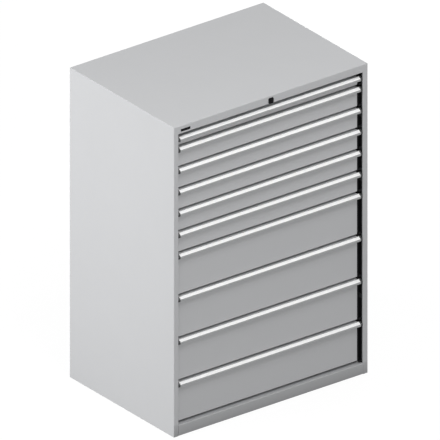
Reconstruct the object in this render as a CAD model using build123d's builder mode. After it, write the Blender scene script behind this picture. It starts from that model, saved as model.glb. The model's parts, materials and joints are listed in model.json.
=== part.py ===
"""Drawer cabinet in folded sheet steel: ten drawers on differential roller slides, one central lock."""

import os

from build123d import *

# Frame: X to the right, Y to the rear, Z up; the origin is on the floor, at the footprint's centre.
# All sizes are in millimetres.

# Overall
cabinet_width = 1023.0
cabinet_depth = 725.0
plinth_height = 50.0
header_zone = 50.0
small_zone = 50.0
medium_zone = 100.0
large_zone = 200.0
small_count = 1
medium_count = 5
large_count = 4

# Housing sheet
sheet = 1.5
bend_radius = 3.0
top_edge_radius = 2.5
stile_width = 25.0
stile_lip = 7.0
rear_flange = 25.0
rear_return = 15.0
header_face = 35.0
header_rail_depth = 21.0
header_rail_end_gap = 70.0
plinth_ledge = 33.0
lap_overlap = 15.0
lap_end_gap = 10.0

# Base and its floor fixing
foot_width = 60.0
deck_height = 38.0
fixing_hole = 11.0
fixing_inset = 45.0
fixing_end_gap = 72.5

# Slotted uprights
upright_depth = 27.0
upright_width = 30.0
upright_sheet = 2.0
rear_upright_gap = 32.5
slot_pitch = 100.0
slot_width = 5.0
slot_height = 14.0
upright_top_gap = 6.0

# Differential slides: a rail on the housing, a runner on the tray and a carriage with rollers between
channel_height = 30.0
channel_sheet = 1.5
rail_width = 9.5
runner_width = 9.3
carriage_plate = 3.0
carriage_height = 24.0
carriage_setback = 4.0
carriage_rear_gap = 40.0
slide_gap = 0.5
slide_rise = 22.0
rail_setback = 3.5
rail_rear_gap = 27.5
roller_play = 0.3
roller_inset = 20.0
roller_sides = 12
stop_margin = 10.0

# Drawer trays
tray_sheet = 1.2
tray_rise = 6.0
tray_headroom = 11.5
tray_rear_gap = 76.6
rim_width = 6.0
travel_extra = 8.0

# Drawer fronts
panel_recess = 16.0
panel_depth = 18.0
panel_sheet = 1.2
panel_edge_radius = 2.0
panel_left_gap = 9.5
panel_right_gap = 18.5
panel_gap = 11.0
plinth_gap = 12.0
panel_lip = 14.0

# Handles, drawn in aluminium, with a slanted shelf for a label strip
handle_wall = 2.0
handle_drop = 5.5
handle_height = 24.0
handle_setback = 1.0
handle_end_gap = 3.0
shelf_drop = 1.3
shelf_fall = 8.5
grip_height = 9.0
nose_radius = 1.2
cap_chamfer = 0.8
label_depth = 0.8
label_margin = 0.8
end_cap = 8.0

# Central lock
lock_drop = 22.0
rosette_size = 26.0
rosette_corner = 4.0
rosette_proud = 3.0
lock_body = 20.0
lock_body_play = 0.3
lock_body_length = 12.0
plug_diameter = 14.0
plug_play = 0.3
plug_proud = 1.0
plug_tail = 0.5
key_slot_width = 2.4
key_slot_height = 8.0
key_slot_depth = 8.0
cam_thickness = 2.0
cam_rim = 2.6
cam_corner = 3.0
lock_travel = 8.0
drive_pin = 5.0
pin_play = 0.4
pin_end = 0.5

# Bar across the header, from the lock to the lock bar
transfer_gap = 1.5
transfer_thickness = 3.0
transfer_below = 7.0
transfer_above = 12.0
transfer_tail = 14.0
ramp_margin = 7.0
ramp_half_height = 11.0

# Upright lock bar, with one hook for each drawer
bar_setback = 3.5
bar_thickness = 3.0
bar_front_gap = 9.0
bar_width = 20.0
bar_floor_gap = 5.0
bar_top_gap = 14.0
tab_thickness = 3.0
tab_gap = 2.0
tab_height = 18.0
tab_margin = 8.0
link_pin_inset = 20.0
link_pin_drop = 4.0
hook_reach = 16.0
hook_front_gap = 3.0
hook_thickness = 7.0
hook_height = 7.5
hook_rise = 4.0
lug_reach = 14.0
lug_setback = 6.0
lug_thickness = 4.0
lug_height = 6.0
lug_clearance = 1.5
guide_height = 20.0
guide_play = 0.3
guide_wall = 2.2
guide_count = 3

# Cuts run past what they cut by this much
overrun = 1.0

# Places that follow from those sizes
zones = [small_zone] * small_count + [medium_zone] * medium_count + [large_zone] * large_count
cabinet_height = plinth_height + sum(zones) + header_zone
half_width = cabinet_width / 2
front_y = -cabinet_depth / 2
rear_y = cabinet_depth / 2
wall_x = half_width - sheet
opening_x = half_width - stile_width
header_bottom = cabinet_height - header_face
roof_z = cabinet_height - sheet
upright_x = wall_x - upright_depth
rail_tip_x = upright_x - rail_width
plate_outer_x = rail_tip_x - slide_gap
plate_inner_x = plate_outer_x - carriage_plate
runner_tip_x = plate_inner_x - slide_gap
tray_half = runner_tip_x - runner_width
panel_left = -opening_x + panel_left_gap
panel_right = opening_x - panel_right_gap
panel_y = front_y + panel_recess
panel_back_y = panel_y + panel_depth
tray_rear_y = rear_y - tray_rear_gap
drawer_travel = tray_rear_y - panel_back_y - tray_sheet - tray_sheet + travel_extra
rail_front_y = panel_back_y + rail_setback
rail_rear_y = rear_y - rail_rear_gap
roller_radius = channel_height / 2 - channel_sheet - roller_play
carriage_front_y = rail_front_y + carriage_setback
carriage_rear_y = tray_rear_y - carriage_rear_gap
handle_depth = panel_recess - handle_setback
handle_half = opening_x - handle_end_gap - end_cap
lock_z = cabinet_height - lock_drop
lock_back_y = front_y + lock_body_length
cam_y = lock_back_y + plug_tail
cam_back_y = cam_y + cam_thickness
transfer_y = cam_back_y + transfer_gap
transfer_back_y = transfer_y + transfer_thickness
pin_orbit = lock_travel / 2**0.5
pin_offset = lock_travel / 2
bar_x = opening_x + bar_setback
bar_front_y = front_y + bar_front_gap
bar_bottom = plinth_height + bar_floor_gap
bar_top = cabinet_height - bar_top_gap
tab_y = transfer_back_y + tab_gap
link_x = bar_x - link_pin_inset
link_z = lock_z - link_pin_drop


def zone_bottoms():
    """Height of each drawer zone's lower edge, from the top drawer down."""
    level = cabinet_height - header_zone
    bottoms = []
    for zone in zones:
        level -= zone
        bottoms.append(level)
    return bottoms


def save(piece, name):
    """Label a finished piece and write it as its own file."""
    piece.label = name
    export_step(piece, f"parts/{name}.step")


def save_pair(piece, left_name, right_name):
    """Write a left piece and its mirror image."""
    save(piece, left_name)
    save(mirror(piece, about=Plane.YZ), right_name)


def face_plane(y):
    """Upright plane at depth y that looks to the front, with X across and Z up."""
    return Plane.XZ.offset(-y)


def folded_channel(plane, points, thickness, radius, side, length):
    """Sheet folded along an outer line, thickened to one side and drawn out along the plane's normal."""
    with BuildPart() as channel:
        with BuildSketch(plane):
            with BuildLine():
                outer = FilletPolyline(*points, radius=radius)
                offset(outer, amount=thickness, side=side)
            make_face()
        extrude(amount=length)
    return channel.part


def make_housing_side():
    """Left wall with its front stile, the stile's lip, its rear flange and a strip that laps into the top."""
    profile = [
        (-half_width + rear_flange, rear_y),
        (-half_width, rear_y),
        (-half_width, front_y),
        (-opening_x, front_y),
        (-opening_x, front_y + stile_lip),
    ]
    lap_front = panel_back_y + upright_width + lap_end_gap
    lap_rear = rear_y - rear_upright_gap - upright_width - lap_end_gap
    with BuildPart() as side:
        add(folded_channel(Plane.XY, profile, sheet, bend_radius, Side.LEFT, header_bottom))
        with BuildSketch(Plane.XY.offset(header_bottom - lap_overlap)):
            with Locations((-wall_x, lap_front)):
                Rectangle(sheet, lap_rear - lap_front, align=(Align.MIN, Align.MIN))
        extrude(amount=lap_overlap + lap_overlap)
    return side.part


def make_housing_top():
    """Top pan: one sheet drawn down on all four sides, with the lock's hole in its front."""
    with BuildPart() as top:
        with BuildSketch(Plane.XY.offset(header_bottom)):
            RectangleRounded(cabinet_width, cabinet_depth, bend_radius)
        extrude(amount=header_face)
        fillet(top.faces().sort_by(Axis.Z)[-1].edges(), radius=top_edge_radius)
        with BuildSketch(Plane.XY.offset(header_bottom)):
            Rectangle(cabinet_width - 2 * sheet, cabinet_depth - 2 * sheet)
        extrude(amount=header_face - sheet, mode=Mode.SUBTRACT)
        with BuildSketch(face_plane(front_y + sheet + overrun)):
            with Locations((0, lock_z)):
                Circle(lock_body / 2 + lock_body_play)
        extrude(amount=sheet + overrun + overrun, mode=Mode.SUBTRACT)
    return top.part


def make_housing_rear():
    """Rear wall, with a return along each side wall."""
    back_y = rear_y - sheet
    profile = [
        (-wall_x, back_y - rear_return),
        (-wall_x, back_y),
        (wall_x, back_y),
        (wall_x, back_y - rear_return),
    ]
    height = header_bottom + lap_overlap
    return folded_channel(Plane.XY, profile, sheet, bend_radius, Side.RIGHT, height)


def make_housing_base():
    """Hat-shaped base: two feet on the floor with the floor-fixing holes, and a raised deck."""
    front = front_y + plinth_ledge
    rear = rear_y - sheet - rear_return
    foot_x = wall_x - foot_width
    profile = [
        (-wall_x, 0),
        (-foot_x, 0),
        (-foot_x, deck_height),
        (foot_x, deck_height),
        (foot_x, 0),
        (wall_x, 0),
    ]
    fixing_span_x = 2 * (wall_x - fixing_inset)
    fixing_span_y = cabinet_depth - 2 * fixing_end_gap
    with BuildPart() as base:
        add(folded_channel(face_plane(rear), profile, sheet, 0, Side.LEFT, rear - front))
        with BuildSketch(Plane.XY.offset(-overrun)):
            with GridLocations(fixing_span_x, fixing_span_y, 2, 2):
                Circle(fixing_hole / 2)
        extrude(amount=sheet + overrun + overrun, mode=Mode.SUBTRACT)
    return base.part


def make_front_plinth():
    """Front of the plinth, folded back along the floor and into a ledge under the lowest drawer."""
    profile = [
        (front_y + plinth_ledge, plinth_height),
        (front_y, plinth_height),
        (front_y, 0),
        (front_y + plinth_ledge, 0),
    ]
    plane = Plane.YZ.offset(-opening_x)
    return folded_channel(plane, profile, sheet, bend_radius, Side.LEFT, 2 * opening_x)


def make_header_rail():
    """Channel behind the top's front that stiffens it and carries the lock."""
    web_y = front_y + sheet
    profile = [
        (web_y + header_rail_depth, roof_z),
        (web_y, roof_z),
        (web_y, header_bottom),
        (web_y + header_rail_depth, header_bottom),
    ]
    rail_half = wall_x - header_rail_end_gap
    with BuildPart() as rail:
        plane = Plane.YZ.offset(-rail_half)
        add(folded_channel(plane, profile, sheet, 0, Side.LEFT, 2 * rail_half))
        with BuildSketch(face_plane(web_y + sheet + overrun)):
            with Locations((0, lock_z)):
                Circle(lock_body / 2 + lock_body_play)
        extrude(amount=sheet + overrun + overrun, mode=Mode.SUBTRACT)
    return rail.part


def make_upright(start_y):
    """Left upright: a channel against the side wall with a row of slots that the rails hook into."""
    profile = [
        (-wall_x, start_y),
        (-upright_x, start_y),
        (-upright_x, start_y + upright_width),
        (-wall_x, start_y + upright_width),
    ]
    slot_top = zone_bottoms()[0] + slide_rise
    slot_count = 1 + int((slot_top - plinth_height) / slot_pitch)
    slot_middle = slot_top - slot_pitch * (slot_count - 1) / 2
    with BuildPart() as upright:
        plane = Plane.XY.offset(sheet)
        height = roof_z - upright_top_gap - sheet
        add(folded_channel(plane, profile, upright_sheet, 0, Side.LEFT, height))
        with BuildSketch(Plane.YZ.offset(-upright_x - upright_sheet - overrun)):
            with Locations((start_y + upright_width / 2, slot_middle)):
                with GridLocations(slot_pitch, slot_pitch, 1, slot_count):
                    Rectangle(slot_width, slot_height)
        extrude(amount=upright_sheet + overrun + overrun, mode=Mode.SUBTRACT)
    return upright.part


def make_cabinet_rails():
    """Left rails on the uprights, one for each drawer, open towards the drawers."""
    with BuildPart() as rails:
        for bottom in zone_bottoms():
            low = bottom + slide_rise - channel_height / 2
            high = low + channel_height
            profile = [(-rail_tip_x, low), (-upright_x, low), (-upright_x, high), (-rail_tip_x, high)]
            length = rail_rear_y - rail_front_y
            add(folded_channel(face_plane(rail_rear_y), profile, channel_sheet, 0, Side.RIGHT, length))
    return rails.part


def make_tray(bottom, zone):
    """Open tray with an outward rim on its sides and rear, and a welded runner on each side."""
    floor_z = bottom + tray_rise
    rim_z = bottom + zone - tray_headroom
    tray_length = tray_rear_y - panel_back_y
    low = bottom + slide_rise - channel_height / 2
    high = low + channel_height
    profile = [(-runner_tip_x, low), (-tray_half, low), (-tray_half, high), (-runner_tip_x, high)]
    plane = face_plane(tray_rear_y)
    runner = folded_channel(plane, profile, channel_sheet, 0, Side.LEFT, tray_length)
    with BuildPart() as tray:
        with BuildSketch(Plane.XY.offset(floor_z)):
            with Locations((0, panel_back_y)):
                Rectangle(2 * tray_half, tray_length, align=(Align.CENTER, Align.MIN))
        extrude(amount=rim_z - floor_z)
        offset(amount=-tray_sheet, openings=tray.faces().sort_by(Axis.Z)[-1])
        with BuildSketch(Plane.XY.offset(rim_z - tray_sheet)):
            with Locations((0, panel_back_y)):
                Rectangle(2 * (tray_half + rim_width), tray_length + rim_width, align=(Align.CENTER, Align.MIN))
                Rectangle(2 * tray_half, tray_length, align=(Align.CENTER, Align.MIN), mode=Mode.SUBTRACT)
        extrude(amount=tray_sheet)
        add(runner)
        mirror(runner, about=Plane.YZ)
    return tray.part


def make_front(bottom, zone):
    """Drawer front: a shallow folded pan with fixing lips at its back.

    It leaves more room on the right, for the lock bar, and the lowest one stays clear of the plinth.
    """
    low = max(bottom + panel_gap / 2, plinth_height + plinth_gap)
    high = bottom + zone - panel_gap / 2
    panel_width = panel_right - panel_left
    lip_left = panel_left + panel_sheet
    lip_width = panel_width - 2 * panel_sheet
    with BuildPart() as front:
        with BuildSketch(face_plane(panel_back_y)):
            with Locations((panel_left, low)):
                Rectangle(panel_width, high - low, align=(Align.MIN, Align.MIN))
        extrude(amount=panel_depth)
        fillet(front.faces().sort_by(Axis.Y)[0].edges(), radius=panel_edge_radius)
        with BuildSketch(face_plane(panel_back_y)):
            with Locations((lip_left, low + panel_sheet)):
                Rectangle(lip_width, high - low - 2 * panel_sheet, align=(Align.MIN, Align.MIN))
        extrude(amount=panel_depth - panel_sheet, mode=Mode.SUBTRACT)
        with BuildSketch(face_plane(panel_back_y)):
            with Locations((lip_left, low + panel_sheet)):
                Rectangle(lip_width, panel_lip, align=(Align.MIN, Align.MIN))
            with Locations((lip_left, high - panel_sheet)):
                Rectangle(lip_width, panel_lip, align=(Align.MIN, Align.MAX))
        extrude(amount=panel_sheet)
    return front.part


def make_lug(bottom):
    """Lug welded to a front's right side, just above its hook when the lock is open."""
    lug_bottom = bottom + hook_rise + hook_height + lug_clearance
    with BuildPart() as lug:
        with BuildSketch(Plane.YZ.offset(panel_right)):
            with Locations((panel_y + lug_setback, lug_bottom)):
                Rectangle(lug_thickness, lug_height, align=(Align.MIN, Align.MIN))
        extrude(amount=lug_reach)
    return lug.part


def handle_outline(zone_top):
    """Corners of the handle's section in Y and Z, from its top at the panel, over the nose and back."""
    top = zone_top - handle_drop
    nose_y = panel_y - handle_depth
    plate_y = panel_y - handle_wall
    shelf_back = top - shelf_drop
    shelf_nose = shelf_back - shelf_fall
    grip_end = shelf_nose - grip_height
    foot = top - handle_height
    return [
        (panel_y, top),
        (plate_y, top),
        (plate_y, shelf_back),
        (nose_y, shelf_nose),
        (nose_y, grip_end),
        (nose_y + handle_wall, grip_end),
        (nose_y + handle_wall, shelf_nose - handle_wall),
        (plate_y, shelf_back - handle_wall),
        (plate_y, foot),
        (panel_y, foot),
    ]


def make_handle(zone_top):
    """Handle strip: back plate, slanted shelf with a shallow label channel, and a grip lip."""
    corners = handle_outline(zone_top)
    shelf_start = Vector(*corners[2])
    shelf_end = Vector(*corners[3])
    along = (shelf_end - shelf_start).normalized()
    into = along.rotate(Axis.Z, 90) * label_depth
    channel_start = shelf_start + along * label_margin
    channel_end = shelf_end - along * (label_margin + nose_radius)
    channel = [channel_start - into, channel_end - into, channel_end + into, channel_start + into]
    with BuildPart() as handle:
        with BuildSketch(Plane.YZ.offset(-handle_half)) as section:
            with BuildLine():
                Polyline(*corners, close=True)
            make_face()
            fillet(section.vertices().sort_by_distance(corners[3])[0], radius=nose_radius)
            with BuildLine():
                Polyline(*channel, close=True)
            make_face(mode=Mode.SUBTRACT)
        extrude(amount=2 * handle_half)
    return handle.part


def make_end_cap(zone_top):
    """Plastic cap on the handle's left end: the handle's outline, filled across the finger gap."""
    corners = handle_outline(zone_top)
    with BuildPart() as cap:
        with BuildSketch(Plane.YZ.offset(-handle_half - end_cap)) as section:
            with BuildLine():
                Polyline(*corners[:5], corners[8], corners[9], close=True)
            make_face()
            chamfer(section.vertices().sort_by_distance(corners[3])[0], length=cap_chamfer)
        extrude(amount=end_cap)
    return cap.part


def make_carriage(bottom):
    """Left carriage: a plate with two rollers for the rail on its outside and two for the runner inside."""
    axle_z = bottom + slide_rise
    half_travel = drawer_travel / 2
    length = carriage_rear_y - carriage_front_y
    rail_rollers = [
        (rail_front_y + half_travel + roller_radius + stop_margin, axle_z),
        (carriage_rear_y - roller_inset, axle_z),
    ]
    runner_rollers = [
        (carriage_front_y + roller_inset, axle_z),
        (tray_rear_y - half_travel - roller_radius - stop_margin, axle_z),
    ]
    with BuildPart() as plate:
        with BuildSketch(Plane.YZ.offset(-plate_outer_x)):
            with Locations((carriage_front_y, axle_z)):
                Rectangle(length, carriage_height, align=(Align.MIN, Align.CENTER))
        extrude(amount=carriage_plate)
    with BuildPart() as rollers:
        with BuildSketch(Plane.YZ.offset(-plate_outer_x)):
            with Locations(*rail_rollers):
                RegularPolygon(roller_radius, roller_sides)
        extrude(amount=-(rail_width - channel_sheet))
        with BuildSketch(Plane.YZ.offset(-plate_inner_x)):
            with Locations(*runner_rollers):
                RegularPolygon(roller_radius, roller_sides)
        extrude(amount=runner_width - channel_sheet)
    return [plate.part, *rollers.solids()]


def make_lock_housing():
    """Lock housing: a rosette on the header's face and a round body through it, with the plug's bore."""
    with BuildPart() as housing:
        with BuildSketch(face_plane(front_y)) as rosette:
            with Locations((0, lock_z)):
                Rectangle(rosette_size, rosette_size)
            chamfer(rosette.vertices(), length=rosette_corner)
        extrude(amount=rosette_proud)
        with BuildSketch(face_plane(lock_back_y)):
            with Locations((0, lock_z)):
                Circle(lock_body / 2)
        extrude(amount=lock_body_length)
        with BuildSketch(face_plane(lock_back_y + overrun)):
            with Locations((0, lock_z)):
                Circle(plug_diameter / 2 + plug_play)
        extrude(amount=lock_body_length + rosette_proud + overrun + overrun, mode=Mode.SUBTRACT)
    return housing.part


def make_lock_plug():
    """Turning plug with its key slot, upright while the lock is open."""
    with BuildPart() as plug:
        plug_front = front_y - rosette_proud - plug_proud
        with BuildSketch(face_plane(cam_y)):
            with Locations((0, lock_z)):
                Circle(plug_diameter / 2)
        extrude(amount=cam_y - plug_front)
        with BuildSketch(face_plane(plug_front + key_slot_depth)):
            with Locations((0, lock_z)):
                Rectangle(key_slot_width, key_slot_height)
        extrude(amount=key_slot_depth + overrun, mode=Mode.SUBTRACT)
    return plug.part


def make_lock_cam():
    """Cam plate on the plug's tail, with the pin that drives the bar across the header."""
    pin_place = (-pin_offset, lock_z + pin_offset)
    cam_size = 2 * (pin_offset + drive_pin / 2 + cam_rim)
    with BuildPart() as cam:
        with BuildSketch(face_plane(cam_back_y)) as plate:
            with Locations((0, lock_z)):
                Rectangle(cam_size, cam_size)
            chamfer(plate.vertices(), length=cam_corner)
        extrude(amount=cam_thickness)
        with BuildSketch(face_plane(transfer_back_y + pin_end)):
            with Locations(pin_place):
                Circle(drive_pin / 2)
        extrude(amount=transfer_back_y + pin_end - cam_back_y)
    return cam.part


def make_transfer_bar():
    """Bar that the cam shifts to the right; its ramp slot lifts the lock bar."""
    slot_width = drive_pin + 2 * pin_play
    ramp_reach = lock_travel / 2
    pin_lift = pin_orbit - pin_offset
    ramp_middle = (link_x - ramp_reach, link_z + ramp_reach)
    ramp_length = 2 * (ramp_reach + drive_pin / 2 + ramp_margin)
    bar_left = -pin_offset - transfer_tail
    with BuildPart() as transfer:
        with BuildSketch(face_plane(transfer_back_y)):
            with Locations((bar_left, lock_z - transfer_below)):
                Rectangle(link_x - bar_left, transfer_below + transfer_above, align=(Align.MIN, Align.MIN))
            with Locations(ramp_middle):
                Rectangle(ramp_length, 2 * ramp_half_height)
            with Locations((-pin_offset, lock_z + pin_offset + pin_lift / 2)):
                SlotCenterToCenter(pin_lift + 2 * pin_play, slot_width, rotation=90, mode=Mode.SUBTRACT)
            with Locations(ramp_middle):
                SlotCenterToCenter(2**0.5 * lock_travel, slot_width, rotation=-45, mode=Mode.SUBTRACT)
        extrude(amount=transfer_thickness)
    return transfer.part


def make_lock_bar():
    """Upright bar behind the right stile, with a welded hook for each drawer and a tab with the ramp slot's pin."""
    tab_low = link_z - tab_margin
    with BuildPart() as bar:
        with BuildSketch(Plane.YZ.offset(bar_x)):
            with Locations((bar_front_y, bar_bottom)):
                Rectangle(bar_width, bar_top - bar_bottom, align=(Align.MIN, Align.MIN))
        extrude(amount=bar_thickness)
    with BuildPart() as hooks:
        with BuildSketch(Plane.YZ.offset(bar_x)):
            for bottom in zone_bottoms():
                with Locations((bar_front_y + hook_front_gap, bottom + hook_rise)):
                    Rectangle(hook_thickness, hook_height, align=(Align.MIN, Align.MIN))
        extrude(amount=-hook_reach)
    with BuildPart() as tab:
        with BuildSketch(face_plane(tab_y + tab_thickness)):
            with Locations((bar_x, tab_low)):
                Rectangle(link_pin_inset + tab_margin, tab_height, align=(Align.MAX, Align.MIN))
        extrude(amount=tab_thickness)
    with BuildPart() as pin:
        with BuildSketch(face_plane(tab_y)):
            with Locations((link_x, link_z)):
                Circle(drive_pin / 2)
        extrude(amount=tab_y - transfer_y + pin_end)
    return [bar.part, *hooks.solids(), tab.part, pin.part]


def make_lock_guides():
    """Guide blocks on the right wall that the lock bar slides through."""
    block_x = bar_x - guide_play - guide_wall
    block_front = front_y + stile_lip + pin_end
    levels = [bottom + zone / 2 for bottom, zone in zip(zone_bottoms(), zones)]
    step = len(levels) // guide_count
    with BuildPart() as guides:
        for level in levels[step - 1 :: step]:
            with BuildSketch(Plane.XY.offset(level)):
                with Locations((block_x, block_front)):
                    Rectangle(wall_x - block_x, panel_back_y - block_front - overrun, align=(Align.MIN, Align.MIN))
                with Locations((bar_x - guide_play, bar_front_y - guide_play)):
                    Rectangle(
                        bar_thickness + 2 * guide_play,
                        bar_width + 2 * guide_play,
                        align=(Align.MIN, Align.MIN),
                        mode=Mode.SUBTRACT,
                    )
            extrude(amount=guide_height)
    return guides.part


def group(pieces):
    """Pieces that share one node and stay separate solids."""
    return Compound(children=pieces)


def with_mirror(pieces):
    """Left pieces, followed by their mirror images."""
    return [*pieces, *[mirror(piece, about=Plane.YZ) for piece in pieces]]


os.makedirs("parts", exist_ok=True)

save_pair(make_housing_side(), "housing_side_left", "housing_side_right")
save(make_housing_top(), "housing_top")
save(make_housing_rear(), "housing_rear")
save(make_housing_base(), "housing_base")
save(make_front_plinth(), "front_plinth")
save(make_header_rail(), "header_rail")
save_pair(make_upright(panel_back_y), "front_upright_left", "front_upright_right")
save_pair(make_upright(rear_y - rear_upright_gap - upright_width), "rear_upright_left", "rear_upright_right")
save_pair(make_cabinet_rails(), "cabinet_rails_left", "cabinet_rails_right")
save(make_lock_housing(), "lock_housing")
save(make_lock_plug(), "lock_plug")
save(make_lock_cam(), "lock_cam")
save(make_transfer_bar(), "lock_transfer_bar")
save(group(make_lock_bar()), "lock_bar")
save(make_lock_guides(), "lock_guides")

for number, (zone_bottom, zone_height) in enumerate(zip(zone_bottoms(), zones), start=1):
    zone_top = zone_bottom + zone_height
    drawer = f"drawer_{number:02d}"
    save(make_tray(zone_bottom, zone_height), f"{drawer}_tray")
    save(group([make_front(zone_bottom, zone_height), make_lug(zone_bottom)]), f"{drawer}_front")
    save(group([make_handle(zone_top), *with_mirror([make_end_cap(zone_top)])]), f"{drawer}_handle")
    save(group(with_mirror(make_carriage(zone_bottom))), f"{drawer}_carriages")
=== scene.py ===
"""Looks of the drawer cabinet: paint, metal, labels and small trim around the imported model, in metres."""

import json
import math

import bmesh
import bpy
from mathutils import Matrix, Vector


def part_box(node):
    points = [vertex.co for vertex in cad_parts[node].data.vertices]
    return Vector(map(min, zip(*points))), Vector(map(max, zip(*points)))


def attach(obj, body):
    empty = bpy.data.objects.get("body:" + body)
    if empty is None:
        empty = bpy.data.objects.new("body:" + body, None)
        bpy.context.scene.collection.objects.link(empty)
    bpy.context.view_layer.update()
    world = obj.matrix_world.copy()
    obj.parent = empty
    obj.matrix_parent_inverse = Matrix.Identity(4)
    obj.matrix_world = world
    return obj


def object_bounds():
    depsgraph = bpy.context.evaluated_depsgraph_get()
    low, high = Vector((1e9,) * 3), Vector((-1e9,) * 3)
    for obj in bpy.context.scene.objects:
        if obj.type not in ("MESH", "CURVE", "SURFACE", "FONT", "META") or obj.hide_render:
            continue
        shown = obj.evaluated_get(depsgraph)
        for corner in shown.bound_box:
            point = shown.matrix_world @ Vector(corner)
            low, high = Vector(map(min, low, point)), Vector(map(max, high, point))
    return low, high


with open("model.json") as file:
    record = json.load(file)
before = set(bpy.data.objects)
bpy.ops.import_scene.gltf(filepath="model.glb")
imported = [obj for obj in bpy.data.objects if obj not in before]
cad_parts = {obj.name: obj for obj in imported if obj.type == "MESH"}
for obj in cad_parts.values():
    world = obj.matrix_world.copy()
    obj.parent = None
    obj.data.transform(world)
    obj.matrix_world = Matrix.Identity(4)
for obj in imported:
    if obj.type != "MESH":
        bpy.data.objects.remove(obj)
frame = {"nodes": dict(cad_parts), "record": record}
cad_low, cad_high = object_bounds()

MM = 0.001
DRAWER_COUNT = 10
nodes = frame["nodes"]
drawers = [f"drawer_{number:02d}" for number in range(1, DRAWER_COUNT + 1)]

# Camera: a parallel view, turned and raised as in the photograph
CAMERA_AZIMUTH = math.radians(-37.21)
CAMERA_ELEVATION = math.radians(26.28)
CAMERA_SCALE = 1.849
CAMERA_DISTANCE = 6.0
AIM_RIGHT = 0.0055
AIM_UP = 0.650

# Light: an even dome and four soft lamps, on the left, above, in front, and behind on the right
DOME_LEVEL = 0.54
LEFT_LAMP_PLACE = (-4.0, 0.7, 1.7)
LEFT_LAMP_SIZE = 2.5
LEFT_LAMP_POWER = 124.0
TOP_LAMP_PLACE = (-0.3, -2.7, 6.1)
TOP_LAMP_SIZE = 2.5
TOP_LAMP_POWER = 124.0
FRONT_LAMP_PLACE = (-1.5, -4.5, 2.2)
FRONT_LAMP_SIZE = 2.5
FRONT_LAMP_POWER = 39.0
REAR_LAMP_PLACE = (4.2, 3.2, 0.75)
REAR_LAMP_SIZE = 1.4
REAR_LAMP_POWER = 100.0
LAMP_AIM = (0.0, -0.3, 0.9)
WHITE = (1.0, 1.0, 1.0)

# Floor: size, gap below the feet, glow, the part that shows the shadow, and the light that it throws back
FLOOR_SIZE = 30.0
FLOOR_DROP = 0.2 * MM
FLOOR_WHITE = 0.93
FLOOR_SHADOW = 0.08
FLOOR_BOUNCE = 0.28

# Finishes: a pattern has scale, detail and at times stretch, a gloss two ends, a relief strength and depth

# Powder coat of the housing, the fronts and the trays
PAINT_GREY = (0.500, 0.505, 0.515)
TRAY_GREY = (0.480, 0.485, 0.495)
PAINT_DRIFT = 0.015
PAINT_CLOUDS = (7.0, 3.0)
PAINT_SHEEN = (60.0, 2.0)
PAINT_GLOSS = (0.42, 0.52)
PAINT_PEEL = (1400.0, 1.0)
PAINT_RELIEF = (0.12, 0.15 * MM)

# Painted shade at the foot: shares of the paint's colour left at the floor, at the edge and at the top of the
# band
FOOT_SHARES = (0.62, 0.83, 1.0)
FOOT_EDGE = 50.0 * MM
FOOT_TOP = 60.0 * MM
FOOT_WAVER = 6.0 * MM
FOOT_SHADE_NOISE = (25.0, 4.0)

# Plane just behind the front faces of the stiles
STILE_FACE_Y = -361.0 * MM

# Anodised aluminium of the handles
ALUMINIUM_DARK = (0.330, 0.335, 0.340)
ALUMINIUM_LIGHT = (0.390, 0.395, 0.400)
ALUMINIUM_METALLIC = 0.35
ALUMINIUM_LINES = (40.0, 3.0, (0.1, 40.0, 40.0))
ALUMINIUM_GLOSS = (0.40, 0.52)
ALUMINIUM_RELIEF = (0.10, 0.05 * MM)

# Zinc-plated steel of the slides, the rear uprights, the header rail and the lock's inner pieces
ZINC_DARK = (0.50, 0.52, 0.55)
ZINC_LIGHT = (0.64, 0.66, 0.68)
ZINC_METALLIC = 1.0
ZINC_CLOUDS = (45.0, 4.0)
ZINC_GLOSS = (0.28, 0.48)
ZINC_GRAIN = (500.0, 2.0)
ZINC_RELIEF = (0.08, 0.05 * MM)

# Black steel of the lock bar, the lugs and the front uprights; their black is painted shade for the gap
# beside the drawer fronts
BLACK_DARK = (0.007, 0.007, 0.008)
BLACK_LIGHT = (0.011, 0.011, 0.012)
BLACK_SHINE = 0.2
BLACK_CLOUDS = (30.0, 3.0)
BLACK_SHEEN = (80.0, 2.0)
BLACK_GLOSS = (0.50, 0.65)
BLACK_GRAIN = (1100.0, 1.0)
BLACK_RELIEF = (0.15, 0.12 * MM)

# Matt dark finish with a fine grain: the guides, the end caps, and the lock with the header's plate
GUIDE_DARK = (0.030, 0.031, 0.033)
GUIDE_LIGHT = (0.045, 0.046, 0.048)
CAP_DARK = (0.050, 0.051, 0.053)
CAP_LIGHT = (0.070, 0.071, 0.073)
LOCK_DARK = (0.004, 0.004, 0.005)
LOCK_LIGHT = (0.007, 0.007, 0.008)
PLASTIC_SHINE = 0.25
LOCK_SHINE = 0.10
PLASTIC_GRAIN = (900.0, 3.0)
PLASTIC_GLOSS = (0.45, 0.60)
PLASTIC_RELIEF = (0.20, 0.08 * MM)

# Paper of the label strips, and the clear film on it
PAPER_DARK = (0.950, 0.950, 0.945)
PAPER_LIGHT = (0.980, 0.980, 0.975)
PAPER_FIBRE = (260.0, 4.0, (0.4, 1.0, 1.0))
PAPER_GLOSS = (0.65, 0.80)
PAPER_RELIEF = (0.10, 0.05 * MM)
FILM_WEIGHT = 1.0
FILM_ROUGHNESS = 0.08

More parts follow.
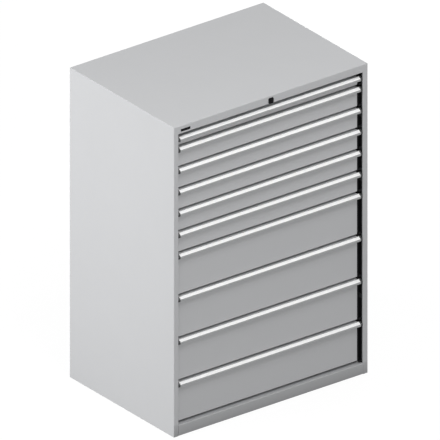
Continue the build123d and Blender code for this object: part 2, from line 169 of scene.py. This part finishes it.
# Handle: the shelf runs from the back plate down to the nose, with a channel for the label strip
HANDLE_WALL = 2.0 * MM
SHELF_DROP = 1.3 * MM
SHELF_FALL = 8.5 * MM
SHELF_REACH = 13.0 * MM
LABEL_MARGIN_BACK = 0.8 * MM
LABEL_MARGIN_NOSE = 2.0 * MM
LABEL_DEPTH = 0.8 * MM
LABEL_PLAY = 0.1 * MM
LABEL_END_GAP = 1.2 * MM
STRIP_EDGE_BACK = 0.3 * MM
STRIP_EDGE_NOSE = 0.8 * MM
STRIP_THICKNESS = 0.4 * MM
STRIP_CROWN = 0.3 * MM
STRIP_STEPS = 8
END_CAP = 8.0 * MM

# Part of a drawer front's width, at its right end, that only the lock's lug takes up, coated black as painted
# shade in the gap
LUG_REACH = 13.5 * MM

# Slots in the tray walls
SLOT_PITCH = 17.0 * MM
SLOT_WIDTH = 3.0 * MM
SLOT_MARGIN = 9.0 * MM
SLOT_CUT = 3.0 * MM
SLOT_TALLEST = 80.0 * MM
SLOT_ROW_GAP = 12.0 * MM
TRAY_SHEET = 1.2 * MM
RIM_WIDTH = 6.0 * MM
RUNNER_WIDTH = 9.3 * MM
RUNNER_TOP = 31.0 * MM

# Blank plate on the header
BADGE_CENTRE_X = -450.0 * MM
BADGE_DROP = 21.5 * MM
BADGE_LENGTH = 50.0 * MM
BADGE_HEIGHT = 12.0 * MM
BADGE_THICKNESS = 0.8 * MM
BADGE_CORNER = 2.0 * MM
BADGE_BEVEL = 0.3 * MM
BADGE_BEVEL_STEPS = 2
CORNER_STEPS = 6

# Rivet heads of the runner rollers, on the outer faces of the carriage plates
RIVET_RADIUS = 3.5 * MM
RIVET_HEIGHT = 1.2 * MM
RIVET_STEPS = 5
RIVET_SIDES = 24
ROLLER_INSET = 20.0 * MM
REAR_ROLLER_GAP = 333.2 * MM
RAIL_ROLLER_WIDTH = 8.0 * MM

# Merging distance for vertices that the model keeps apart along its sharp edges
WELD = 0.01 * MM


def shaded(colour, factor):
    """A colour made lighter or darker."""
    return tuple(factor * part for part in colour)


def opaque(colour):
    """A colour with full cover."""
    return (*colour, 1.0)


class Shader:
    """A new material with its surface shader, and short ways to feed it with patterns."""

    def __init__(self, name):
        self.material = bpy.data.materials.new(name)
        self.material.use_nodes = True
        self.nodes = self.material.node_tree.nodes
        self.links = self.material.node_tree.links
        self.surface = self.nodes["Principled BSDF"]
        self.place = self.nodes.new("ShaderNodeTexCoord").outputs["Object"]

    def set(self, **values):
        """Plain values on the surface shader, named with underscores for spaces."""
        for name, value in values.items():
            self.surface.inputs[name.replace("_", " ")].default_value = value

    def noise(self, scale, detail, stretch=(1.0, 1.0, 1.0)):
        """Cloudy pattern, from 0 to 1."""
        mapping = self.nodes.new("ShaderNodeMapping")
        mapping.inputs["Scale"].default_value = stretch
        self.links.new(self.place, mapping.inputs["Vector"])
        noise = self.nodes.new("ShaderNodeTexNoise")
        noise.inputs["Scale"].default_value = scale
        noise.inputs["Detail"].default_value = detail
        self.links.new(mapping.outputs["Vector"], noise.inputs["Vector"])
        return noise.outputs["Fac"]

    def colour(self, pattern, first, second):
        """Base colour that drifts between two colours with a pattern."""
        mix = self.nodes.new("ShaderNodeMix")
        mix.data_type = "RGBA"
        self.links.new(pattern, mix.inputs["Factor"])
        mix.inputs["A"].default_value = opaque(first)
        mix.inputs["B"].default_value = opaque(second)
        self.links.new(mix.outputs["Result"], self.surface.inputs["Base Color"])

    def painted_foot_shade(self, limit):
        """Painted shade: darker colour towards the floor, on what lies in front of a limit in Y."""
        parts = self.nodes.new("ShaderNodeSeparateXYZ")
        self.links.new(self.place, parts.inputs["Vector"])
        waver = self.nodes.new("ShaderNodeMath")
        waver.operation = "MULTIPLY_ADD"
        self.links.new(self.noise(*FOOT_SHADE_NOISE), waver.inputs[0])
        waver.inputs[1].default_value = FOOT_WAVER
        self.links.new(parts.outputs["Z"], waver.inputs[2])
        height = self.nodes.new("ShaderNodeMapRange")
        height.inputs["From Min"].default_value = FOOT_WAVER / 2
        height.inputs["From Max"].default_value = FOOT_WAVER / 2 + FOOT_TOP
        self.links.new(waver.outputs["Value"], height.inputs["Value"])
        levels = self.nodes.new("ShaderNodeValToRGB")
        stops = levels.color_ramp.elements
        stops.new(FOOT_EDGE / FOOT_TOP)
        for stop, share in zip(stops, FOOT_SHARES):
            stop.color = opaque(shaded(WHITE, share))
        self.links.new(height.outputs["Result"], levels.inputs["Fac"])
        front = self.nodes.new("ShaderNodeMath")
        front.operation = "LESS_THAN"
        self.links.new(parts.outputs["Y"], front.inputs[0])
        front.inputs[1].default_value = limit
        # Multiply the paint's colour by the painted shade towards the floor
        foot_shade = self.nodes.new("ShaderNodeMix")
        foot_shade.data_type = "RGBA"
        foot_shade.blend_type = "MULTIPLY"
        unshaded = self.surface.inputs["Base Color"].links[0].from_socket
        self.links.new(front.outputs["Value"], foot_shade.inputs["Factor"])
        self.links.new(unshaded, foot_shade.inputs["A"])
        self.links.new(levels.outputs["Color"], foot_shade.inputs["B"])
        self.links.new(foot_shade.outputs["Result"], self.surface.inputs["Base Color"])

    def roughness(self, pattern, low, high):
        """Roughness that drifts between two values with a pattern."""
        span = self.nodes.new("ShaderNodeMapRange")
        span.inputs["To Min"].default_value = low
        span.inputs["To Max"].default_value = high
        self.links.new(pattern, span.inputs["Value"])
        self.links.new(span.outputs["Result"], self.surface.inputs["Roughness"])

    def bump(self, pattern, strength, distance):
        """Fine relief from a pattern."""
        bump = self.nodes.new("ShaderNodeBump")
        bump.inputs["Strength"].default_value = strength
        bump.inputs["Distance"].default_value = distance
        self.links.new(pattern, bump.inputs["Height"])
        self.links.new(bump.outputs["Normal"], self.surface.inputs["Normal"])


def paint(name, colour, foot_limit=None):
    """Powder coat: nearly even colour, satin gloss and fine orange peel, with painted shade at the foot if
    asked.
    """
    shader = Shader(name)
    darker = shaded(colour, 1.0 - PAINT_DRIFT)
    lighter = shaded(colour, 1.0 + PAINT_DRIFT)
    shader.colour(shader.noise(*PAINT_CLOUDS), darker, lighter)
    if foot_limit is not None:
        shader.painted_foot_shade(foot_limit)
    shader.roughness(shader.noise(*PAINT_SHEEN), *PAINT_GLOSS)
    shader.bump(shader.noise(*PAINT_PEEL), *PAINT_RELIEF)
    return shader.material


def aluminium():
    """Drawn aluminium with a matt grey anodic coat and fine lines along its length."""
    shader = Shader("handle_aluminium")
    lines = shader.noise(*ALUMINIUM_LINES)
    shader.set(Metallic=ALUMINIUM_METALLIC)
    shader.colour(lines, ALUMINIUM_DARK, ALUMINIUM_LIGHT)
    shader.roughness(lines, *ALUMINIUM_GLOSS)
    shader.bump(lines, *ALUMINIUM_RELIEF)
    return shader.material


def zinc():
    """Zinc-plated steel: a cloudy, slightly blue bright metal."""
    shader = Shader("zinc_steel")
    clouds = shader.noise(*ZINC_CLOUDS)
    shader.set(Metallic=ZINC_METALLIC)
    shader.colour(clouds, ZINC_DARK, ZINC_LIGHT)
    shader.roughness(clouds, *ZINC_GLOSS)
    shader.bump(shader.noise(*ZINC_GRAIN), *ZINC_RELIEF)
    return shader.material


def black_steel():
    """Black coated steel, matt; its black stands in as painted shade in the gap beside the drawer fronts."""
    shader = Shader("black_steel")
    shader.set(Specular_IOR_Level=BLACK_SHINE)
    shader.colour(shader.noise(*BLACK_CLOUDS), BLACK_DARK, BLACK_LIGHT)
    shader.roughness(shader.noise(*BLACK_SHEEN), *BLACK_GLOSS)
    shader.bump(shader.noise(*BLACK_GRAIN), *BLACK_RELIEF)
    return shader.material


def moulded_plastic(name, dark, light, shine):
    """Moulded plastic with a fine spark-eroded grain that keeps it matt."""
    shader = Shader(name)
    shader.set(Specular_IOR_Level=shine)
    grain = shader.noise(*PLASTIC_GRAIN)
    shader.colour(grain, dark, light)
    shader.roughness(grain, *PLASTIC_GLOSS)
    shader.bump(grain, *PLASTIC_RELIEF)
    return shader.material


def label_white():
    """White label strip under a clear glossy film, with a faint paper fibre."""
    shader = Shader("label_white")
    fibre = shader.noise(*PAPER_FIBRE)
    shader.set(Coat_Weight=FILM_WEIGHT, Coat_Roughness=FILM_ROUGHNESS)
    shader.colour(fibre, PAPER_DARK, PAPER_LIGHT)
    shader.roughness(fibre, *PAPER_GLOSS)
    shader.bump(fibre, *PAPER_RELIEF)
    return shader.material


def looked_at(tree):
    """1 for what the camera sees, also in a reflection or through clear plastic, and 0 for light."""
    path = tree.nodes.new("ShaderNodeLightPath")
    result = path.outputs["Is Camera Ray"]
    for name in ("Is Glossy Ray", "Is Transmission Ray"):
        either = tree.nodes.new("ShaderNodeMath")
        either.operation = "MAXIMUM"
        tree.links.new(result, either.inputs[0])
        tree.links.new(path.outputs[name], either.inputs[1])
        result = either.outputs[0]
    return result


def floor_material():
    """White to the eye, with the object's soft shadow, and a darker bounce than white for its light."""
    material = bpy.data.materials.new("studio_floor")
    material.use_nodes = True
    tree = material.node_tree
    tree.nodes.clear()
    output = tree.nodes.new("ShaderNodeOutputMaterial")
    glow = tree.nodes.new("ShaderNodeEmission")
    glow.inputs["Strength"].default_value = FLOOR_WHITE
    catcher = tree.nodes.new("ShaderNodeBsdfDiffuse")
    catcher.inputs["Color"].default_value = opaque(shaded(WHITE, FLOOR_SHADOW))
    seen = tree.nodes.new("ShaderNodeAddShader")
    tree.links.new(glow.outputs[0], seen.inputs[0])
    tree.links.new(catcher.outputs[0], seen.inputs[1])
    bounce = tree.nodes.new("ShaderNodeBsdfDiffuse")
    bounce.inputs["Color"].default_value = opaque(shaded(WHITE, FLOOR_BOUNCE))
    choice = tree.nodes.new("ShaderNodeMixShader")
    tree.links.new(looked_at(tree), choice.inputs[0])
    tree.links.new(bounce.outputs[0], choice.inputs[1])
    tree.links.new(seen.outputs[0], choice.inputs[2])
    tree.links.new(choice.outputs[0], output.inputs["Surface"])
    return material


def make_world():
    """White background, and an even dome of light."""
    world = bpy.data.worlds.new("studio")
    bpy.context.scene.world = world
    world.use_nodes = True
    tree = world.node_tree
    tree.nodes.clear()
    output = tree.nodes.new("ShaderNodeOutputWorld")
    dome = tree.nodes.new("ShaderNodeBackground")
    dome.inputs["Strength"].default_value = DOME_LEVEL
    white = tree.nodes.new("ShaderNodeBackground")
    for shader in (dome, white):
        shader.inputs["Color"].default_value = opaque(WHITE)
    choice = tree.nodes.new("ShaderNodeMixShader")
    tree.links.new(looked_at(tree), choice.inputs[0])
    tree.links.new(dome.outputs[0], choice.inputs[1])
    tree.links.new(white.outputs[0], choice.inputs[2])
    tree.links.new(choice.outputs[0], output.inputs["Surface"])


def make_floor():
    """Plain floor under the cabinet."""
    mesh = bpy.data.meshes.new("floor")
    half = FLOOR_SIZE / 2
    corners = [(-half, -half), (half, -half), (half, half), (-half, half)]
    mesh.from_pydata([(x, y, -FLOOR_DROP) for x, y in corners], [], [(0, 1, 2, 3)])
    mesh.materials.append(floor_material())
    floor = bpy.data.objects.new("floor", mesh)
    bpy.context.scene.collection.objects.link(floor)


def make_lamp(name, place, size, power, mirrored=True):
    """Soft square lamp that looks at the cabinet, with or without its mirror image on glossy faces."""
    data = bpy.data.lights.new(name, "AREA")
    data.size = size
    data.energy = power
    lamp = bpy.data.objects.new(name, data)
    lamp.location = place
    lamp.visible_glossy = mirrored
    lamp.rotation_euler = (Vector(LAMP_AIM) - Vector(place)).to_track_quat("-Z", "Y").to_euler()
    bpy.context.scene.collection.objects.link(lamp)


def make_camera():
    """Parallel camera at the photograph's viewing angle."""
    across = Vector((math.cos(CAMERA_AZIMUTH), math.sin(CAMERA_AZIMUTH), 0.0))
    level = Vector((math.sin(CAMERA_AZIMUTH), -math.cos(CAMERA_AZIMUTH), 0.0))
    back = level * math.cos(CAMERA_ELEVATION) + Vector((0.0, 0.0, math.sin(CAMERA_ELEVATION)))
    upward = back.cross(across)
    data = bpy.data.cameras.new("camera")
    data.type = "ORTHO"
    data.ortho_scale = CAMERA_SCALE
    camera = bpy.data.objects.new("camera", data)
    camera.location = across * AIM_RIGHT + upward * AIM_UP + back * CAMERA_DISTANCE
    camera.rotation_euler = (-back).to_track_quat("-Z", "Y").to_euler()
    bpy.context.scene.collection.objects.link(camera)
    bpy.context.scene.camera = camera


def new_piece(name, builder, material, body):
    """Object from a finished bmesh, with its material, riding on a body."""
    mesh = bpy.data.meshes.new(name)
    bmesh.ops.recalc_face_normals(builder, faces=builder.faces)
    builder.to_mesh(mesh)
    builder.free()
    mesh.materials.append(material)
    piece = bpy.data.objects.new(name, mesh)
    bpy.context.scene.collection.objects.link(piece)
    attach(piece, body)
    return piece


def soften(piece, width, segments):
    """Small rounding on a piece's sharp edges."""
    bevel = piece.modifiers.new("rounding", "BEVEL")
    bevel.width = width
    bevel.segments = segments
    bevel.limit_method = "ANGLE"


def weld(piece):
    """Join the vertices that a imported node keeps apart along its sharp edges."""
    piece.modifiers.new("weld", "WELD").merge_threshold = WELD


def crisp(piece):
    """Keep sharp edges sharp after the vertices were joined."""
    piece.modifiers.new("crisp", "EDGE_SPLIT")


def dress(node, material):
    """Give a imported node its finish."""
    nodes[node].data.materials.clear()
    nodes[node].data.materials.append(material)


def dress_faces(node, material, chosen):
    """Second finish on the faces of a node whose centres pass a test."""
    mesh = nodes[node].data
    mesh.materials.append(material)
    for face in mesh.polygons:
        if chosen(face.center):
            face.material_index = len(mesh.materials) - 1


def drawn_strip(profile, half_length):
    """Closed section in Y and Z, drawn out along X to both sides."""
    builder = bmesh.new()
    rings = []
    for x in (-half_length, half_length):
        rings.append([builder.verts.new((x, y, z)) for y, z in profile])
    count = len(profile)
    for index in range(count):
        following = (index + 1) % count
        builder.faces.new((rings[0][index], rings[0][following], rings[1][following], rings[1][index]))
    builder.faces.new(reversed(rings[0]))
    builder.faces.new(rings[1])
    return builder


def shelf_frame(drawer):
    """Start of a handle's label shelf at the back plate, its direction to the nose, and its upward normal."""
    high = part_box(f"{drawer}_handle")[1]
    start = Vector((0.0, high.y - HANDLE_WALL, high.z - SHELF_DROP))
    along = Vector((0.0, -SHELF_REACH, -SHELF_FALL)).normalized()
    outward = Vector((0.0, along.z, -along.y))
    return start, along, outward


def strip_profile(drawer):
    """Section of the label strip in Y and Z: it fills the channel and laps over the shelf beside it."""
    start, along, outward = shelf_frame(drawer)
    length = math.hypot(SHELF_REACH, SHELF_FALL)
    channel = (LABEL_MARGIN_BACK + LABEL_PLAY, length - LABEL_MARGIN_NOSE - LABEL_PLAY)
    lap = (STRIP_EDGE_BACK, length - STRIP_EDGE_NOSE)
    bottom = LABEL_PLAY - LABEL_DEPTH
    section = [(channel[1], bottom), (channel[0], bottom), (channel[0], LABEL_PLAY), (lap[0], LABEL_PLAY)]
    for step in range(STRIP_STEPS + 1):
        share = step / STRIP_STEPS
        rise = LABEL_PLAY + STRIP_THICKNESS + STRIP_CROWN * math.sin(math.pi * share)
        section.append((lap[0] + (lap[1] - lap[0]) * share, rise))
    section += [(lap[1], LABEL_PLAY), (channel[1], LABEL_PLAY)]
    points = [start + along * down + outward * rise for down, rise in section]
    return [(point.y, point.z) for point in points]


def make_label(drawer, material):
    """Blank label strip along one drawer's handle."""
    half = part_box(f"{drawer}_handle")[1].x - END_CAP - LABEL_END_GAP
    strip = drawn_strip(strip_profile(drawer), half)
    new_piece(f"{drawer}_label_strip", strip, material, drawer)


def add_box(builder, low, high):
    """Add a block between two corners to a bmesh."""
    corners = [
        builder.verts.new((x, y, z))
        for z in (low.z, high.z)
        for x, y in ((low.x, low.y), (high.x, low.y), (high.x, high.y), (low.x, high.y))
    ]
    for face in ((3, 2, 1, 0), (4, 5, 6, 7), (0, 1, 5, 4), (1, 2, 6, 5), (2, 3, 7, 6), (3, 0, 4, 7)):
        builder.faces.new([corners[index] for index in face])


def slot_rows(low, high):
    """Ends of the slot rows between two levels: one row, or more where it would be too tall."""
    count = max(1, math.ceil((high - low) / (SLOT_TALLEST + SLOT_ROW_GAP)))
    height = (high - low - SLOT_ROW_GAP * (count - 1)) / count
    bottoms = [low + (height + SLOT_ROW_GAP) * row for row in range(count)]
    return [(bottom, bottom + height) for bottom in bottoms]


def slot_places(low, high):
    """Evenly pitched places centred between two ends."""
    count = int((high - low - 2 * SLOT_MARGIN) / SLOT_PITCH)
    middle = (low + high) / 2
    return [middle + SLOT_PITCH * (index - count / 2) for index in range(count + 1)]


def slot_blocks(drawer):
    """Blocks where one drawer's tray has its divider slots."""
    low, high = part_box(f"{drawer}_tray")
    wall_x = high.x - RUNNER_WIDTH - TRAY_SHEET / 2
    front_y = low.y + TRAY_SHEET / 2
    rear_y = high.y - RIM_WIDTH - TRAY_SHEET / 2
    top = high.z - SLOT_MARGIN
    floor = low.z + SLOT_MARGIN
    above_runner = low.z + RUNNER_TOP + SLOT_CUT
    half = SLOT_WIDTH / 2
    reach = SLOT_CUT / 2
    builder = bmesh.new()
    for bottom, end in slot_rows(floor, top):
        for x in slot_places(-wall_x, wall_x):
            for y in (front_y, rear_y):
                corner = Vector((x - half, y - reach, bottom))
                add_box(builder, corner, Vector((x + half, y + reach, end)))
    if top - above_runner > SLOT_MARGIN:
        for bottom, end in slot_rows(above_runner, top):
            for y in slot_places(front_y, rear_y):
                for x in (-wall_x, wall_x):
                    corner = Vector((x - reach, y - half, bottom))
                    add_box(builder, corner, Vector((x + reach, y + half, end)))
    return builder


def slot_tray(drawer):
    """Cut the rows of divider slots through the walls of one drawer's tray."""
    mesh = bpy.data.meshes.new(f"{drawer}_slots")
    builder = slot_blocks(drawer)
    builder.to_mesh(mesh)
    builder.free()
    cutter = bpy.data.objects.new(f"{drawer}_slots", mesh)
    bpy.context.scene.collection.objects.link(cutter)
    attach(cutter, drawer)
    cutter.hide_render = True
    cutter.hide_viewport = True
    tray = nodes[f"{drawer}_tray"]
    weld(tray)
    cut = tray.modifiers.new("slots", "BOOLEAN")
    cut.operation = "DIFFERENCE"
    cut.solver = "EXACT"
    cut.object = cutter
    crisp(tray)


def add_dome(builder, centre, side):
    """Add a rivet head that bulges out along X, with its flat back on a plate's face."""
    rings = []
    for step in range(RIVET_STEPS):
        tilt = math.pi / 2 * step / RIVET_STEPS
        radius = RIVET_RADIUS * math.cos(tilt)
        bulge = side * RIVET_HEIGHT * math.sin(tilt)
        ring = []
        for corner in range(RIVET_SIDES):
            turn = 2 * math.pi * corner / RIVET_SIDES
            offset = Vector((bulge, radius * math.cos(turn), radius * math.sin(turn)))
            ring.append(builder.verts.new(centre + offset))
        rings.append(ring)
    tip = builder.verts.new(centre + Vector((side * RIVET_HEIGHT, 0.0, 0.0)))
    for corner in range(RIVET_SIDES):
        following = (corner + 1) % RIVET_SIDES
        for lower, upper in zip(rings, rings[1:]):
            band = builder.faces.new((lower[corner], lower[following], upper[following], upper[corner]))
            band.smooth = True
        crown = builder.faces.new((rings[-1][corner], rings[-1][following], tip))
        crown.smooth = True
    builder.faces.new(rings[0])


def make_rivets(drawer, material):
    """Domed rivet heads on the outer faces of one drawer's two carriages."""
    low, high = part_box(f"{drawer}_carriages")
    tray_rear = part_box(f"{drawer}_tray")[1].y - RIM_WIDTH
    places = (low.y + ROLLER_INSET, tray_rear - REAR_ROLLER_GAP)
    level = (low.z + high.z) / 2
    builder = bmesh.new()
    for side in (-1.0, 1.0):
        face_x = side * (high.x - RAIL_ROLLER_WIDTH)
        for y in places:
            add_dome(builder, Vector((face_x, y, level)), side)
    carriage = drawer.replace("drawer", "carriage")
    new_piece(f"{carriage}_rivets", builder, material, carriage)


def make_badge(material):
    """Blank plate with round corners on the left end of the header."""
    low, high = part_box("housing_top")
    centre_z = high.z - BADGE_DROP
    half_length = BADGE_LENGTH / 2 - BADGE_CORNER
    half_height = BADGE_HEIGHT / 2 - BADGE_CORNER
    builder = bmesh.new()
    outline = []
    for quarter, (across, up) in enumerate(((1, 1), (-1, 1), (-1, -1), (1, -1))):
        for step in range(CORNER_STEPS + 1):
            turn = math.pi / 2 * (quarter + step / CORNER_STEPS)
            x = BADGE_CENTRE_X + across * half_length + BADGE_CORNER * math.cos(turn)
            z = centre_z + up * half_height + BADGE_CORNER * math.sin(turn)
            outline.append(builder.verts.new((x, low.y, z)))
    back = builder.faces.new(outline)
    front = bmesh.ops.extrude_face_region(builder, geom=[back])
    moved = [item for item in front["geom"] if isinstance(item, bmesh.types.BMVert)]
    bmesh.ops.translate(builder, verts=moved, vec=(0.0, -BADGE_THICKNESS, 0.0))
    badge = new_piece("header_badge", builder, material, "housing")
    soften(badge, BADGE_BEVEL, BADGE_BEVEL_STEPS)


make_world()
make_floor()
make_lamp("left_lamp", LEFT_LAMP_PLACE, LEFT_LAMP_SIZE, LEFT_LAMP_POWER, mirrored=False)
make_lamp("top_lamp", TOP_LAMP_PLACE, TOP_LAMP_SIZE, TOP_LAMP_POWER)
make_lamp("front_lamp", FRONT_LAMP_PLACE, FRONT_LAMP_SIZE, FRONT_LAMP_POWER)
make_lamp("rear_lamp", REAR_LAMP_PLACE, REAR_LAMP_SIZE, REAR_LAMP_POWER)
make_camera()
bpy.context.scene.view_settings.view_transform = "Standard"

housing_paint = paint("housing_paint", PAINT_GREY)
# Painted shade towards the floor: on the sides only on the stiles' front faces, on the plinth all over
side_paint = paint("side_paint", PAINT_GREY, STILE_FACE_Y)
plinth_paint = paint("plinth_paint", PAINT_GREY, cad_high.y)
front_paint = paint("front_paint", PAINT_GREY)
tray_paint = paint("tray_paint", TRAY_GREY)
handle_metal = aluminium()
zinc_steel = zinc()
black_coat = black_steel()
guide_plastic = moulded_plastic("guide_plastic", GUIDE_DARK, GUIDE_LIGHT, PLASTIC_SHINE)
cap_plastic = moulded_plastic("cap_plastic", CAP_DARK, CAP_LIGHT, PLASTIC_SHINE)
lock_plastic = moulded_plastic("lock_plastic", LOCK_DARK, LOCK_LIGHT, LOCK_SHINE)
label_strip = label_white()

finishes = {
    "housing_paint": housing_paint,
    "plinth_paint": plinth_paint,
    "front_paint": front_paint,
    "tray_steel": tray_paint,
    "handle_aluminium": handle_metal,
    "zinc_steel": zinc_steel,
    "black_steel": black_coat,
    "guide_plastic": guide_plastic,
    "lock_black": lock_plastic,
}
for subpart in frame["record"]["subparts"]:
    dress(subpart["node"], finishes[subpart["material_slot"]])
for side in ("left", "right"):
    dress(f"housing_side_{side}", side_paint)

for drawer in drawers:
    cap_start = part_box(f"{drawer}_handle")[1].x - END_CAP
    lug_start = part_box(f"{drawer}_front")[1].x - LUG_REACH
    dress_faces(f"{drawer}_handle", cap_plastic, lambda centre: abs(centre.x) > cap_start)
    # The lugs take the black coat: painted shade, so they vanish into the dark gap beside the fronts
    dress_faces(f"{drawer}_front", black_coat, lambda centre: centre.x > lug_start)
    make_label(drawer, label_strip)
    slot_tray(drawer)
    make_rivets(drawer, zinc_steel)
make_badge(lock_plastic)
